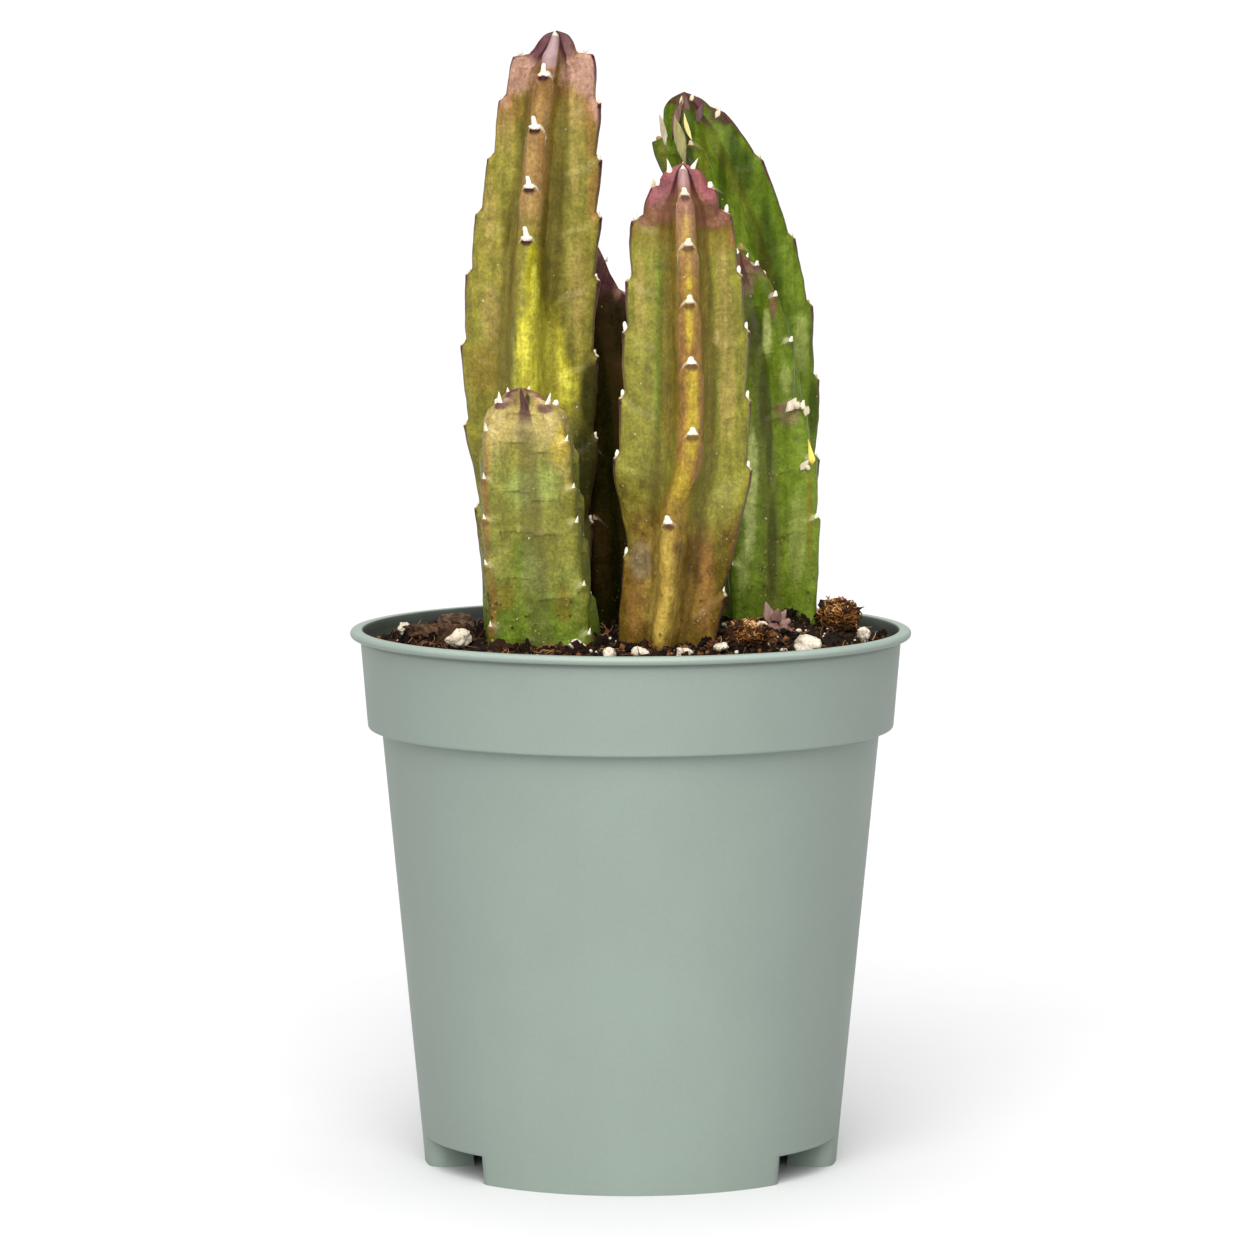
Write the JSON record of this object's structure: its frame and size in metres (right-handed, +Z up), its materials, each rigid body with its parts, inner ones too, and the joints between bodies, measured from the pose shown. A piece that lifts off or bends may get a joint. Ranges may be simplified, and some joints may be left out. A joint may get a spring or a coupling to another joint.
{
  "type": "potted stapelia",
  "caption": "Potted stapelia: upright four-ribbed succulent stems with small pale spurs, standing in peat in a round tapered nursery pot with a collar and notched foot.",
  "frame": {"origin": "middle of the pot's foot, on the surface that the pot stands on", "axes": "+Z up along the pot's axis and the stems, -Y towards the front, where the foremost stem stands, +X to the right seen from the front"},
  "size_m": [0.12, 0.12, 0.242],
  "materials": {
    "pot_plastic": "satin moulded, grey-green",
    "peat": "moist crumbly peat, dark brown",
    "stem_olive": "waxy skin, olive flushed with purple",
    "stem_green": "waxy skin, green",
    "stem_purple": "waxy skin, dark purple-brown",
    "perlite": "porous, cream white",
    "bark": "rough, dark brown",
    "coir": "fibrous, orange-brown"
  },
  "bodies": {
    "root": {"bark_chip_1": "bark", "bark_chip_2": "bark", "bark_chip_3": "bark", "bark_chip_4": "bark", "bark_chip_5": "bark", "coir_tuft_1": "coir", "coir_tuft_2": "coir", "perlite_grain_1": "perlite", "perlite_grain_10": "perlite", "perlite_grain_11": "perlite", "perlite_grain_2": "perlite", "perlite_grain_3": "perlite", "perlite_grain_4": "perlite", "perlite_grain_5": "perlite", "perlite_grain_6": "perlite", "perlite_grain_7": "perlite", "perlite_grain_8": "perlite", "perlite_grain_9": "perlite", "pot": "pot_plastic", "soil": "peat", "stem_front_centre": "stem_olive", "stem_mid_right": "stem_green", "stem_rear": "stem_purple", "stem_short_left": "stem_green", "stem_tall_left": "stem_olive", "stem_tall_right": "stem_green"}
  },
  "joints": []
}
